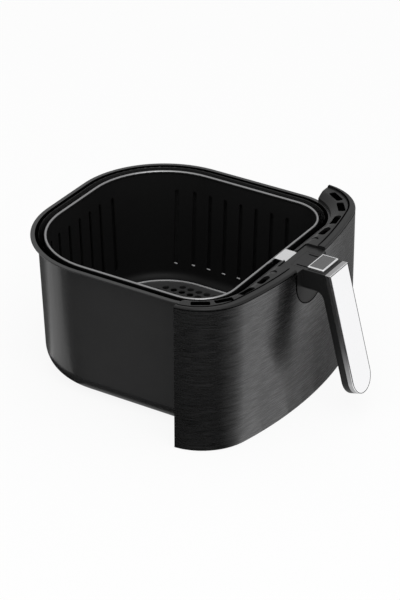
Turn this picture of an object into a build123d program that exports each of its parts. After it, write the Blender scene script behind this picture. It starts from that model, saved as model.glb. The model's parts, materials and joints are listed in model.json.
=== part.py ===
from build123d import *
import math
import os

# Drawer of an air fryer: outer pan with its curved front panel, a lift-out basket
# and a handle with a guarded release button. Millimetres, +Z up, handle towards -Y,
# origin at the centre of the pan's flat base.

# Basket
RIM_HALF_WIDTH = 110.0
RIM_HALF_DEPTH = 111.2
FRONT_CORNER = 38.3
BACK_CORNER = 79.0
BASKET_DEPTH = 115.0
BASKET_SHEET = 1.2
BASKET_TAPER = 4.6
BASKET_BASE_RADIUS = 10.0
BEAD_RADIUS = 1.6
FLOOR_LEDGE = 14.0
FLOOR_SHEET = 1.2
FLOOR_EDGE_GAP = 0.4
SLOT_WIDTH = 4.0
SLOT_LENGTH = 82.0
SLOT_PITCH = 17.7
SLOT_TOP_DROP = 18.5
SIDE_SLOTS = 8
BACK_SLOTS = 7
HOLE_RADIUS = 2.9
HOLE_SIDES = 6
HOLE_PITCH_X = 9.2
HOLE_PITCH_Y = 9.6
HOLE_MARGIN = 11.0

# Outer pan
PAN_HEIGHT = 142.8
RIM_DROP = 2.8
PAN_SHEET = 1.2
PAN_TOP_OFFSET = 7.5
PAN_BASE_OFFSET = 2.0
PAN_BASE_RADIUS = 26.0
LIP_OFFSET = 14.3
LIP_THICKNESS = 1.6
LIP_EDGE = 0.6
LIP_MOUTH = 1.0
LIP_ROOT = 1.5
SUPPORT_X = 52.0
SUPPORT_Y = 58.0
SUPPORT_TOP_RADIUS = 6.0
SUPPORT_BASE_RADIUS = 11.0
SEAT_GAP = 0.2

# Front panel
PANEL_REACH = 40.3
PANEL_SIDE = 32.6
PANEL_BOW = 430.0
PANEL_CORNER = 55.0
WING_CUT = 21.2
PANEL_RISE = 8.7
GROUND_GAP = 1.0
SKIN = 0.8
HOUSING_WALL = 2.4
BAND_FRONT = 8.0
BAND_SIDE = 4.5
BAND_HEIGHT = 5.0
BAND_ROUND = 1.8
BAND_EDGE = 2.0
SHELF_WIDTH = 12.0
SHELF_THICKNESS = 2.5
COVER_OFFSET = 9.0
COVER_WALL = 2.0
COVER_LIP_GAP = 0.5

# Vent ring
RING_STEPS = ((12.5, 3.2), (16.5, 5.8), (21.0, 7.6))
RING_SKIRT = 3.0
RING_GAP = 0.3
VENT_OFFSET = 21.5
VENT_PLACES = ((33.0, 24.4), (53.4, 22.6), (79.5, 19.8))
VENT_LENGTH = 18.0
VENT_WIDTH = 7.0
VENT_CORNER = 2.0
OVAL_X = 56.5
OVAL_LENGTH = 17.0
OVAL_WIDTH = 7.0
RING_SCREW_X = 38.5
RING_SCREW_SINK = 2.6
RING_SCREW_LENGTH = 12.0
RING_BOSS = 20.0

# Handle
HANDLE_WIDTH = 33.4
TONGUE_HALF = 26.0
TONGUE_DROP = 40.5
TONGUE_THICKNESS = 10.5
TONGUE_REACH = 21.0
TONGUE_TOP_PLATE = 6.9
TONGUE_REAR_GAP = 1.2
DECK_RISE = 5.6
NECK_HEIGHT = 20.4
NECK_REACH = 28.9
NECK_FILLET = 9.0
GRIP_SLANT = 14.5
GRIP_LENGTH = 125.9
FACE_THICKNESS = 1.2
TRIM_THICKNESS = 4.3
GRIP_THICKNESS = 8.5
GRIP_ROUND = 3.5
NOTCH_GAP = 0.5
POCKET_DEPTH = 13.1
POCKET_WALL = 2.0
POCKET_TOP_GAP = 2.0

# Steel strap between basket and handle
STRAP_WIDTH = 21.0
STRAP_SHEET = 1.2
STRAP_LENGTH = 6.5
STRAP_LEG = 34.0
STRAP_CLEAR = 3.4
STRAP_BEND = 3.0
STRAP_STANDOFF = 3.8
STRAP_DROP = 8.0

# Release mechanism
COVER_PLATE = 1.6
COVER_HALF = 14.9
COVER_START = 14.0
COVER_INSET = 1.5
COVER_GAP = 0.1
NECK_FLOOR = 1.6
BUTTON_LENGTH = 13.0
BUTTON_HALF = 8.5
BUTTON_INSET = 3.5
BUTTON_TRAVEL = 3.0
BUTTON_GAP = 0.4
BUTTON_CORNER = 1.5
BUTTON_EDGE = 0.6
FLANGE = 2.0
FLANGE_RIM = 0.6
STEM_INSET = 5.2
STEM_LENGTH = 3.0
STEM_WIDTH = 6.0
STEM_GAP = 0.5
GUARD_HALF = 14.3
GUARD_LENGTH = 17.1
GUARD_HEIGHT = 2.8
GUARD_RIM = 1.5
GUARD_TRAVEL = 16.0
GUARD_CLEAR = 0.2
GUARD_LEDGE = 0.6
GUARD_INSET = 1.4
GUARD_CORNER = 1.0
RAIL_X = 11.3
RAIL_WIDTH = 1.1
RAIL_LENGTH = 12.0
RAIL_INSET = 1.7
FOOT_WIDTH = 2.4
FOOT_HEIGHT = 1.5
RUN_GAP = 0.3
LEVER_THICKNESS = 8.0
LEVER_HUB = 4.0
LEVER_ARM = 3.0
LEVER_RISE = 4.4
LEVER_ROOM = 0.6
PIVOT_INSET = 5.0
PIVOT_RISE = 1.5
PIN_RADIUS = 1.5
PIN_LENGTH = 18.0
RUN_CLEAR = 0.05
CATCH_SHEET = 1.2
CATCH_HALF = 14.0
CATCH_HEIGHT = 15.0
CATCH_CLEAR = 1.2
CATCH_SCREW_INSET = 4.0
HOOK_DROP = 5.2
HOOK_HEIGHT = 2.4
HOOK_REACH = 0.9
SPRING_SHEET = 0.4
SPRING_WIDTH = 5.0
SPRING_ROOT = 8.5
SPRING_FOOT = 3.0
SPRING_TAB = 1.0

# Fasteners
SCREW_RADIUS = 1.5
SCREW_HEAD = 3.0
HEAD_HEIGHT = 1.4
HEAD_CHAMFER = 0.4
SMALL_HEAD = 2.5
LOW_HEAD = 0.8
FIT = 0.02
PAN_SCREW_X = 45.0
PAN_SCREW_LEVELS = (62.0, 112.0)
BRACKET_SCREW_LENGTH = 5.6
CATCH_SCREW_LENGTH = 5.2
HANDLE_SCREW_PLACES = (37.8, 98.2)
BOSS_RADIUS = 4.5
RIVET_RADIUS = 2.0
RIVET_HEAD = 3.6
RIVET_X = 5.5

# Levels and places worked out from the sizes above
rim_z = PAN_HEIGHT - RIM_DROP
floor_z = rim_z - BASKET_DEPTH
ledge_z = floor_z - FLOOR_SHEET
basket_base_z = ledge_z - BASKET_SHEET
lip_under_z = PAN_HEIGHT - LIP_THICKNESS
panel_top = PAN_HEIGHT + PANEL_RISE
band_z = panel_top - BAND_HEIGHT
skin_top = panel_top - BAND_EDGE
ring_top = PAN_HEIGHT + RING_STEPS[-1][1]
deck_z = PAN_HEIGHT + DECK_RISE
neck_z = deck_z - NECK_HEIGHT
panel_front = -(RIM_HALF_DEPTH + PANEL_REACH)
wing_end = -(RIM_HALF_DEPTH - WING_CUT)
panel_half = RIM_HALF_WIDTH + PANEL_SIDE
tongue_back = panel_front + TONGUE_THICKNESS
tongue_rear = panel_front + TONGUE_REACH
pocket_y = panel_front + POCKET_DEPTH
face_y = panel_front - NECK_REACH
strap_z = PAN_HEIGHT + STRAP_CLEAR
strap_end = tongue_rear - STRAP_LENGTH
top_plate_z = deck_z - TONGUE_TOP_PLATE
cover_z = deck_z - COVER_PLATE
neck_floor = neck_z + NECK_FLOOR
lever_top = neck_floor + BUTTON_TRAVEL + LEVER_RISE
cover_end = panel_front + COVER_START
trim_depth = FACE_THICKNESS + TRIM_THICKNESS
back_depth = trim_depth + GRIP_THICKNESS
slant = math.radians(GRIP_SLANT)
cover_front = face_y + trim_depth / math.cos(slant) + COVER_INSET
button_front = cover_front + BUTTON_INSET
stem_y = button_front + STEM_INSET
guard_front = cover_front + GUARD_INSET
rail_front = guard_front + RAIL_INSET
pivot_y = tongue_back - PIVOT_INSET
pivot_z = neck_z + PIVOT_RISE
catch_top = top_plate_z - POCKET_TOP_GAP / 4
catch_screw_z = catch_top - CATCH_HEIGHT + CATCH_SCREW_INSET
hook_z = catch_top - HOOK_DROP
ring_screw_y = -(RIM_HALF_DEPTH + VENT_OFFSET)
bracket_screw_y = tongue_rear - SCREW_HEAD
strap_foot_z = rim_z - STRAP_LEG - STRAP_DROP
wall_slope = math.atan(BASKET_TAPER / BASKET_DEPTH)
far = 400.0
over = 1.0
tiny = 0.01


def write(node, shape):
    export_step(shape, os.path.join("parts", node + ".step"))


def block(x0, x1, y0, y1, z0, z1):
    """Box between two corners."""
    centre = Pos((x0 + x1) / 2, (y0 + y1) / 2, (z0 + z1) / 2)
    return centre * Box(x1 - x0, y1 - y0, z1 - z0)


def tray_plan(offset):
    """Rounded outline of the basket's rim, grown by an offset."""
    plan = Rectangle(2 * (RIM_HALF_WIDTH + offset), 2 * (RIM_HALF_DEPTH + offset))
    plan = fillet(plan.vertices().sort_by(Axis.Y)[:2], FRONT_CORNER + offset)
    return fillet(plan.vertices().sort_by(Axis.Y)[-2:], BACK_CORNER + offset)


def tray_ring(section):
    """Section, drawn as offset and height, carried round the tray's outline."""
    back_x = RIM_HALF_WIDTH - BACK_CORNER
    back_y = RIM_HALF_DEPTH - BACK_CORNER
    front_x = RIM_HALF_WIDTH - FRONT_CORNER
    front_y = FRONT_CORNER - RIM_HALF_DEPTH
    side = back_y - front_y
    corners = [(back_x, back_y, BACK_CORNER, 2 * back_x), (-back_x, back_y, BACK_CORNER, side),
               (-front_x, front_y, FRONT_CORNER, 2 * front_x), (front_x, front_y, FRONT_CORNER, side)]
    pieces = []
    for quarter, (x, y, radius, run) in enumerate(corners):
        face = Plane.XZ * Pos(radius, 0) * section
        place = Pos(x, y) * Rot(0, 0, 90 * quarter)
        pieces.append(place * revolve(face, Axis.Z, 90))
        pieces.append(place * Rot(0, 0, 90) * extrude(face, -run))
    return Part() + pieces


def rounded(section, corner, radius):
    """Flat section with the corner nearest to a point rounded."""
    vertex = section.vertices().sort_by_distance((corner[0], corner[1], 0))[0]
    return fillet(vertex, radius)


def panel_plan(inset, side_inset):
    """C-shaped front panel seen from above, filled back to the wing ends, drawn in at front and sides."""
    bow = PANEL_BOW - inset
    half = panel_half - side_inset
    plan = Pos(0, panel_front + PANEL_BOW) * Circle(bow)
    plan &= Pos(0, panel_front) * Rectangle(2 * half, 2 * RIM_HALF_DEPTH)
    corners = plan.vertices().sort_by(Axis.Y)[:2]
    plan = fillet(corners, PANEL_CORNER - inset)
    return plan & Pos(0, wing_end - far / 2) * Rectangle(far, far)


def panel_wall(inset0, inset1, z0, z1):
    """Upright wall between two insets of the panel's outline."""
    return Pos(0, 0, z0) * extrude(panel_plan(inset0, inset0) - panel_plan(inset1, inset1), z1 - z0)


def tongue_plan(grow):
    """U-shaped outline of the handle's tongue in the X-Z plane, grown by a gap."""
    half = TONGUE_HALF + grow
    centre = deck_z - TONGUE_DROP + TONGUE_HALF
    height = far - centre
    outline = Pos(0, centre) * Circle(half)
    outline += Pos(0, centre + height / 2) * Rectangle(2 * half, height)
    return Plane.XZ * outline


def u_block(grow, y0, y1):
    """Tongue outline, grown by a gap, carried from y0 to y1."""
    return Pos(0, y1, 0) * extrude(tongue_plan(grow), y1 - y0)


def pan_offset(z):
    return PAN_BASE_OFFSET + (PAN_TOP_OFFSET - PAN_BASE_OFFSET) * z / PAN_HEIGHT


def basket_offset(z):
    """Offset of the basket wall's middle at a height."""
    return -BASKET_TAPER * (rim_z - z) / BASKET_DEPTH


def screw(head_radius, head_height, radius, length):
    """Pan-head screw standing on the XY plane, with its shank down -Z."""
    head = extrude(Circle(head_radius), head_height)
    head = chamfer(head.faces().sort_by(Axis.Z)[-1].edges(), HEAD_CHAMFER)
    return head + extrude(Circle(radius), -length)


def bottom_edges(shape):
    return shape.faces().sort_by(Axis.Z)[0].edges()


# Outer pan: drawn sheet with a flared lip and four pressed-up supports
def pan_support(top_radius, base_radius, z0, z1):
    return Pos(0, 0, (z0 + z1) / 2) * Cone(base_radius, top_radius, z1 - z0)


def support_places():
    return [(sx * SUPPORT_X, sy * SUPPORT_Y) for sx in (-1, 1) for sy in (-1, 1)]


def make_outer_pan():
    floor_edge = PAN_BASE_OFFSET - PAN_BASE_RADIUS - PAN_SHEET
    base = (pan_offset(0), 0)
    base_inside = (pan_offset(PAN_SHEET) - PAN_SHEET, PAN_SHEET)
    lip_root = (pan_offset(lip_under_z), lip_under_z)
    lip_lower = (LIP_OFFSET, lip_under_z)
    lip_upper = (LIP_OFFSET, PAN_HEIGHT)
    mouth = (pan_offset(PAN_HEIGHT) - PAN_SHEET, PAN_HEIGHT)
    section = Polygon((floor_edge, 0), base, lip_root, lip_lower, lip_upper, mouth, base_inside,
                      (floor_edge, PAN_SHEET), align=None)
    section = rounded(section, base, PAN_BASE_RADIUS)
    section = rounded(section, base_inside, PAN_BASE_RADIUS - PAN_SHEET)
    section = rounded(section, lip_root, LIP_ROOT)
    section = rounded(section, lip_lower, LIP_EDGE)
    section = rounded(section, lip_upper, LIP_EDGE)
    section = rounded(section, mouth, LIP_MOUTH)
    pan = tray_ring(section) + extrude(tray_plan(floor_edge), PAN_SHEET)
    support_top = ledge_z - SEAT_GAP
    for x, y in support_places():
        pan += Pos(x, y) * pan_support(SUPPORT_TOP_RADIUS, SUPPORT_BASE_RADIUS, 0, support_top)
        pan -= Pos(x, y) * pan_support(SUPPORT_TOP_RADIUS - PAN_SHEET, SUPPORT_BASE_RADIUS - PAN_SHEET,
                                       0, support_top - PAN_SHEET)
    for x, z in pan_screw_places():
        pan -= along_y(x, z, -RIM_HALF_DEPTH - LIP_OFFSET, -RIM_HALF_DEPTH + LIP_OFFSET,
                       SCREW_RADIUS + RUN_GAP)
    return pan


def along_y(x, z, y0, y1, radius):
    """Round bar along Y."""
    return Pos(x, (y0 + y1) / 2, z) * Rot(90, 0, 0) * Cylinder(radius, y1 - y0)


def pan_screw_places():
    return [(sx * PAN_SCREW_X, z) for sx in (-1, 1) for z in PAN_SCREW_LEVELS]


def pan_inner_y(z):
    return -(RIM_HALF_DEPTH + pan_offset(z) - PAN_SHEET)


def make_pan_screws():
    screws = []
    length = PANEL_REACH / 2
    for x, z in pan_screw_places():
        seat = pan_inner_y(z - SCREW_HEAD) + RUN_CLEAR
        screws.append(Pos(x, seat, z) * Rot(-90, 0, 0) * screw(SCREW_HEAD, HEAD_HEIGHT, SCREW_RADIUS, length))
    return Compound(screws)


# Front panel: moulded housing with the handle's pocket, inner cover, metal skin
def make_front_housing():
    outer_wall = panel_wall(SKIN, SKIN + HOUSING_WALL, GROUND_GAP, band_z)
    shelf = panel_wall(SKIN, SHELF_WIDTH, band_z - SHELF_THICKNESS, band_z)
    band = Pos(0, 0, band_z) * extrude(panel_plan(0, 0), BAND_HEIGHT)
    rounded = [e for e in band.faces().sort_by(Axis.Z)[-1].edges() if e.center().Y < wing_end - tiny]
    band = fillet(rounded, BAND_ROUND)
    band -= Pos(0, 0, band_z) * extrude(panel_plan(BAND_FRONT, BAND_SIDE), BAND_HEIGHT)
    band -= panel_wall(0, SKIN, band_z, skin_top)
    footprint = panel_plan(SKIN, SKIN) - tray_plan(COVER_OFFSET)
    base = Pos(0, 0, GROUND_GAP) * extrude(footprint, HOUSING_WALL)
    outside_cover = panel_plan(SKIN, SKIN) - tray_plan(COVER_OFFSET + COVER_WALL)
    ends = Pos(0, 0, GROUND_GAP) * extrude(outside_cover, band_z - GROUND_GAP)
    ends &= block(-far, far, wing_end - HOUSING_WALL, wing_end, 0, lip_under_z - COVER_LIP_GAP)
    housing = outer_wall + shelf + band + base + ends
    inside = Pos(0, 0, GROUND_GAP) * extrude(panel_plan(SKIN, SKIN), band_z - GROUND_GAP)
    pocket = u_block(NOTCH_GAP + POCKET_WALL, panel_front, pocket_y + POCKET_WALL) & inside
    housing += pocket
    cover_face = -(RIM_HALF_DEPTH + COVER_OFFSET + COVER_WALL)
    for x, z in pan_screw_places():
        housing += along_y(x, z, panel_front + SKIN, cover_face, BOSS_RADIUS) & inside
        housing -= along_y(x, z, panel_front + PANEL_REACH / 4, cover_face, SCREW_RADIUS + FIT)
    for side in (-1, 1):
        x = side * RING_SCREW_X
        boss = Pos(x, ring_screw_y, band_z - RING_BOSS / 2)
        housing += boss * Cylinder(BOSS_RADIUS, RING_BOSS)
        rib_half = POCKET_WALL / 2
        housing += block(x - rib_half, x + rib_half, panel_front, ring_screw_y, band_z - RING_BOSS,
                         band_z) & inside
        housing -= boss * Cylinder(SCREW_RADIUS + FIT, RING_BOSS)
    housing -= u_block(NOTCH_GAP, panel_front - HOUSING_WALL, pocket_y)
    housing -= block(-TONGUE_HALF - NOTCH_GAP, TONGUE_HALF + NOTCH_GAP, pocket_y - POCKET_WALL,
                     pocket_y + 2 * POCKET_WALL, top_plate_z - POCKET_TOP_GAP, far)
    for x in catch_screw_places():
        housing -= along_y(x, catch_screw_z, pocket_y, pocket_y + POCKET_WALL, SCREW_RADIUS + FIT)
    return housing


def make_inner_cover():
    top = lip_under_z - COVER_LIP_GAP
    bottom = GROUND_GAP + HOUSING_WALL
    plan = tray_plan(COVER_OFFSET + COVER_WALL) - tray_plan(COVER_OFFSET)
    plan &= Pos(0, wing_end - far / 2) * Rectangle(far, far)
    cover = Pos(0, 0, bottom) * extrude(plan, top - bottom)
    for x, z in pan_screw_places():
        pad_face = -(RIM_HALF_DEPTH + pan_offset(z + BOSS_RADIUS)) - RUN_CLEAR
        cover += along_y(x, z, -(RIM_HALF_DEPTH + COVER_OFFSET + COVER_WALL), pad_face, BOSS_RADIUS)
        cover -= along_y(x, z, -RIM_HALF_DEPTH - PANEL_REACH / 2, -RIM_HALF_DEPTH, SCREW_RADIUS + RUN_GAP)
    return cover


def make_panel_skin():
    skin = panel_wall(0, SKIN, GROUND_GAP, skin_top)
    return skin - u_block(NOTCH_GAP, panel_front - HOUSING_WALL, pocket_y)


# Vent ring: sloped moulding over the pan's lip, in two halves beside the handle
def vent_shapes(side):
    """Plans of the vent openings on one side."""
    centre_x = RIM_HALF_WIDTH - FRONT_CORNER
    centre_y = -(RIM_HALF_DEPTH - FRONT_CORNER)
    shapes = []
    for angle, offset in VENT_PLACES:
        a = math.radians(angle)
        radius = FRONT_CORNER + offset
        x = side * (centre_x + radius * math.cos(a))
        y = centre_y - radius * math.sin(a)
        shapes.append(Pos(x, y) * Rot(0, 0, side * (90 - angle))
                      * RectangleRounded(VENT_LENGTH, VENT_WIDTH, VENT_CORNER))
    shapes.append(Pos(side * OVAL_X, ring_screw_y) * SlotOverall(OVAL_LENGTH, OVAL_WIDTH))
    return shapes


def make_vent_ring(side):
    outline = panel_plan(BAND_FRONT + RING_GAP, BAND_SIDE + RING_GAP)
    ring = Pos(0, 0, band_z) * extrude(outline, ring_top - band_z)
    inner = RING_STEPS[0][0]
    skirt = (tray_plan(inner + RING_SKIRT) - tray_plan(inner)) & outline
    ring += Pos(0, 0, PAN_HEIGHT) * extrude(skirt, ring_top - PAN_HEIGHT)
    levels = [Pos(0, 0, PAN_HEIGHT + rise) * tray_plan(offset) for offset, rise in RING_STEPS]
    ring -= loft([Pos(0, 0, PAN_HEIGHT) * tray_plan(inner)] + levels, ruled=True)
    half = TONGUE_HALF + NOTCH_GAP
    ring -= block(-half, half, panel_front, tongue_rear + TONGUE_REAR_GAP, PAN_HEIGHT, far)
    strap_half = STRAP_WIDTH / 2 + 2 * NOTCH_GAP
    ring -= block(-strap_half, strap_half, panel_front, 0, PAN_HEIGHT, far)
    ring &= block(min(0, side * far), max(0, side * far), -far, far, 0, far)
    for shape in vent_shapes(side):
        ring -= Pos(0, 0, PAN_HEIGHT) * extrude(shape, far)
    hole = Pos(side * RING_SCREW_X, ring_screw_y, 0)
    ring -= hole * extrude(Circle(SCREW_RADIUS + RUN_GAP), far)
    ring -= hole * Pos(0, 0, ring_top - RING_SCREW_SINK) * extrude(Circle(SCREW_HEAD + RUN_GAP), far)
    return ring


def make_ring_screws():
    seat = ring_top - RING_SCREW_SINK
    fastener = screw(SCREW_HEAD, HEAD_HEIGHT, SCREW_RADIUS, RING_SCREW_LENGTH)
    return Compound([Pos(s * RING_SCREW_X, ring_screw_y, seat) * fastener for s in (-1, 1)])


# Catch plate in the pocket, which the latch hooks under
def catch_screw_places():
    return (CATCH_SCREW_INSET - CATCH_HALF, CATCH_HALF - CATCH_SCREW_INSET)


def make_catch_plate():
    plate = block(-CATCH_HALF, CATCH_HALF, pocket_y - CATCH_SHEET, pocket_y,
                  catch_top - CATCH_HEIGHT, catch_top)
    window = LEVER_THICKNESS / 2 + CATCH_CLEAR
    plate -= block(-window, window, pocket_y - far, pocket_y + far, hook_z - CATCH_CLEAR,
                   hook_z + HOOK_HEIGHT + CATCH_CLEAR)
    for x in catch_screw_places():
        plate -= along_y(x, catch_screw_z, pocket_y - CATCH_SHEET, pocket_y, SCREW_RADIUS + FIT)
    return plate


def make_catch_screws():
    seat = pocket_y - CATCH_SHEET
    fastener = Rot(90, 0, 0) * screw(SMALL_HEAD, LOW_HEAD, SCREW_RADIUS, CATCH_SCREW_LENGTH)
    return Compound([Pos(x, seat, catch_screw_z) * fastener for x in catch_screw_places()])


# Basket: slotted wall with a rolled bead and a ledge, perforated floor plate
def make_basket():
    half_sheet = BASKET_SHEET / 2
    opening = floor_offset() - FLOOR_LEDGE
    base = (basket_offset(basket_base_z) + half_sheet, basket_base_z)
    base_inside = (basket_offset(ledge_z) - half_sheet, ledge_z)
    section = Polygon((opening, basket_base_z), base, (half_sheet, rim_z), (-half_sheet, rim_z),
                      base_inside, (opening, ledge_z), align=None)
    section = rounded(section, base, BASKET_BASE_RADIUS)
    section = rounded(section, base_inside, BASKET_BASE_RADIUS - BASKET_SHEET)
    basket = tray_ring(section + Pos(0, rim_z) * Circle(BEAD_RADIUS))
    slot_z = rim_z - SLOT_TOP_DROP - SLOT_LENGTH / 2
    side_slot = extrude(Plane.YZ * SlotOverall(SLOT_LENGTH, SLOT_WIDTH, rotation=90), far / 2, both=True)
    back_slot = extrude(Plane.XZ * SlotOverall(SLOT_LENGTH, SLOT_WIDTH, rotation=90), -far / 2)
    for place in spread(SIDE_SLOTS, SLOT_PITCH):
        basket -= Pos(0, place, slot_z) * side_slot
    for place in spread(BACK_SLOTS, SLOT_PITCH):
        basket -= Pos(place, 0, slot_z) * back_slot
    for x in (-RIVET_X, RIVET_X):
        basket -= rivet_plane(x) * Cylinder(RIVET_RADIUS + FIT, 4 * RIVET_RADIUS)
    return basket


def spread(count, pitch):
    """Places of a row of copies about the middle."""
    return [(i - (count - 1) / 2) * pitch for i in range(count)]


def floor_offset():
    """Offset of the floor plate's edge, where the wall's round meets the ledge."""
    return basket_offset(ledge_z) - BASKET_SHEET / 2 - (BASKET_BASE_RADIUS - BASKET_SHEET)


def make_basket_floor():
    edge = floor_offset() - FLOOR_EDGE_GAP
    plate = tray_plan(edge)
    inner = tray_plan(edge - HOLE_MARGIN)
    limit_x = RIM_HALF_WIDTH + edge - HOLE_MARGIN
    limit_y = RIM_HALF_DEPTH + edge - HOLE_MARGIN
    columns = int(limit_x // HOLE_PITCH_X)
    rows = int(limit_y // HOLE_PITCH_Y) + 1
    hole = RegularPolygon(HOLE_RADIUS, HOLE_SIDES)
    holes = []
    for i in range(-columns, columns + 1):
        shift = HOLE_PITCH_Y / 2 if i % 2 else 0
        for j in range(-rows, rows + 1):
            place = Vector(i * HOLE_PITCH_X, j * HOLE_PITCH_Y + shift)
            if inner.face().is_inside(place):
                holes.append(Pos(place.X, place.Y) * hole)
    return Pos(0, 0, ledge_z) * extrude(plate - holes, FLOOR_SHEET)


# Strap, riveted to the basket's front wall and bent over the pan's lip
def wall_y(z):
    """Outer face of the basket's front wall."""
    return -(RIM_HALF_DEPTH + basket_offset(z) + BASKET_SHEET / 2)


def rivet_plane(x):
    """Plane on the wall's outer face, its normal out of the basket."""
    z = strap_foot_z + STRAP_LEG / 3
    normal = (0, -math.cos(wall_slope), -math.sin(wall_slope))
    return Plane(origin=(x, wall_y(z), z), x_dir=(1, 0, 0), z_dir=normal)


def make_handle_bracket():
    half = STRAP_SHEET / 2

    def on_wall(z):
        return (0, wall_y(z) - half * math.cos(wall_slope), z - half * math.sin(wall_slope))

    stand_y = -(RIM_HALF_DEPTH + STRAP_STANDOFF)
    points = [on_wall(strap_foot_z), on_wall(strap_foot_z + STRAP_LEG * 2 / 3),
              (0, stand_y, strap_foot_z + STRAP_LEG), (0, stand_y, strap_z + half),
              (0, strap_end, strap_z + half)]
    path = FilletPolyline(*points, radius=STRAP_BEND)
    section = Plane(path @ 0, x_dir=(1, 0, 0), z_dir=path % 0) * Rectangle(STRAP_WIDTH, STRAP_SHEET)
    strap = sweep(section, path)
    for x in (-RIVET_X, RIVET_X):
        strap -= rivet_plane(x) * Cylinder(RIVET_RADIUS + FIT, 4 * RIVET_RADIUS)
    for x in bracket_screw_places():
        strap -= Pos(x, bracket_screw_y, strap_z) * Cylinder(SCREW_RADIUS + RUN_GAP, 4 * STRAP_SHEET)
    return strap


def make_bracket_rivets():
    head_height = BASKET_SHEET
    shank = BASKET_SHEET + STRAP_SHEET
    rivets = []
    for x in (-RIVET_X, RIVET_X):
        body = Pos(0, 0, (STRAP_SHEET - BASKET_SHEET) / 2) * Cylinder(RIVET_RADIUS, shank)
        outer = Pos(0, 0, STRAP_SHEET) * extrude(Circle(RIVET_HEAD), head_height)
        inner = Pos(0, 0, -BASKET_SHEET) * extrude(Circle(RIVET_HEAD), -head_height)
        outer = chamfer(outer.faces().sort_by(Axis.Z)[-1].edges(), head_height / 2)
        inner = chamfer(bottom_edges(inner), head_height / 2)
        rivets.append(rivet_plane(x) * (body + outer + inner))
    return Compound(rivets)


def bracket_screw_places():
    return (-STRAP_WIDTH / 3, STRAP_WIDTH / 3)


def make_bracket_screws():
    fastener = Rot(180, 0, 0) * screw(SMALL_HEAD, HEAD_HEIGHT, SCREW_RADIUS, BRACKET_SCREW_LENGTH)
    return Compound([Pos(x, bracket_screw_y, top_plate_z) * fastener for x in bracket_screw_places()])


# Handle: tongue, neck and grip in one moulding, trim and polished face on its front
def grip_plane():
    """Plane on the handle's face: X across, Y down the slant, Z into the handle."""
    return Plane(origin=(0, face_y, deck_z), x_dir=(1, 0, 0), z_dir=(0, math.cos(slant), -math.sin(slant)))


def grip_point(depth, along):
    """Point in the Y-Z plane, at a depth behind the face and a length down it."""
    return (face_y + depth * math.cos(slant) - along * math.sin(slant),
            deck_z - depth * math.sin(slant) - along * math.cos(slant))


def grip_prism(depth0, depth1):
    """Round-ended strip of the handle's face between two depths, cut level with the deck."""
    half = HANDLE_WIDTH / 2
    straight = GRIP_LENGTH - half
    start = -2 * half
    strip = Pos(0, (start + straight) / 2) * Rectangle(HANDLE_WIDTH, straight - start)
    strip += Pos(0, straight) * Circle(half)
    prism = grip_plane() * (Pos(0, 0, depth0) * extrude(strip, depth1 - depth0))
    return prism & block(-far, far, -far, 0, -far, deck_z)


def along_grip(x, along, depth0, depth1, radius):
    """Round bar square to the handle's face."""
    return grip_plane() * Pos(x, along, (depth0 + depth1) / 2) * Cylinder(radius, depth1 - depth0)


def underside_edges(body, root_y):
    """Edges of the neck's underside and the grip's back, where fingers close round them."""
    edges = []
    for face in body.faces():
        normal = face.normal_at(face.center())
        behind = normal.Y > -tiny and normal.Z < tiny and abs(normal.X) < tiny
        if behind and face.center().Y < root_y - tiny:
            edges += [e for e in face.edges() if e.geom_type == GeomType.CIRCLE or abs(e.center().X) > tiny]
    return edges


def make_handle_body():
    root_y = panel_front + TONGUE_THICKNESS / 2
    corner_along = (deck_z - neck_z) / math.cos(slant) - back_depth * math.tan(slant)
    corner = grip_point(back_depth, corner_along)
    front_top = grip_point(trim_depth, -trim_depth * math.tan(slant))
    outline = Polygon((root_y, neck_z), corner, grip_point(back_depth, GRIP_LENGTH),
                      grip_point(trim_depth, GRIP_LENGTH), front_top, (root_y, deck_z), align=None)
    outline = rounded(outline, corner, NECK_FILLET)
    arm = extrude(Plane.YZ * outline, HANDLE_WIDTH / 2, both=True)
    above = block(-far, far, -far, far, neck_z - NECK_FILLET, far)
    body = arm & (grip_prism(trim_depth, back_depth + over) + above)
    body = fillet(underside_edges(body, root_y), GRIP_ROUND)
    shape = Pos(0, 0, GROUND_GAP) * extrude(panel_plan(0, 0), deck_z - GROUND_GAP)
    tongue = u_block(0, panel_front, tongue_back) & shape
    top_plate = block(-TONGUE_HALF, TONGUE_HALF, tongue_back - over, tongue_rear, top_plate_z, deck_z)
    body += tongue + top_plate
    return body - mechanism_space() - strap_space() - screw_space()


def mechanism_space():
    """Room in the neck for the cover, button, guard rails and latch lever."""
    half = COVER_HALF + COVER_GAP
    space = block(-half, half, cover_front - COVER_GAP, cover_end + COVER_GAP, cover_z, far)
    half = BUTTON_HALF + FLANGE_RIM + BUTTON_GAP
    space += block(-half, half, button_front - 2 * BUTTON_GAP, button_front + BUTTON_LENGTH + 2 * BUTTON_GAP,
                   lever_top - over, cover_z + over)
    half = LEVER_THICKNESS / 2 + LEVER_ROOM
    hub = LEVER_HUB + LEVER_ROOM
    space += block(-half, half, pivot_y - hub, tongue_back + over, pivot_z - hub, cover_z + over)
    space += block(-half, half, stem_y - LEVER_ARM - 2 * over, pivot_y, neck_floor, cover_z + over)
    for side in (-1, 1):
        x = side * RAIL_X
        half = FOOT_WIDTH / 2 + RUN_GAP
        space += block(x - half, x + half, rail_front - 2 * RUN_GAP,
                       rail_front + RAIL_LENGTH + GUARD_TRAVEL + 2 * RUN_GAP,
                       cover_z - FOOT_HEIGHT - 3 * RUN_GAP, cover_z + over)
    space += Pos(0, pivot_y, pivot_z) * Rot(0, 90, 0) * Cylinder(PIN_RADIUS + FIT, PIN_LENGTH)
    half = SPRING_WIDTH / 2 + COVER_GAP
    root = pivot_y - SPRING_ROOT
    space += block(-half, half, root - COVER_GAP, root + SPRING_SHEET + COVER_GAP,
                   neck_floor - SPRING_TAB - COVER_GAP, neck_floor + over)
    return space


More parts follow.
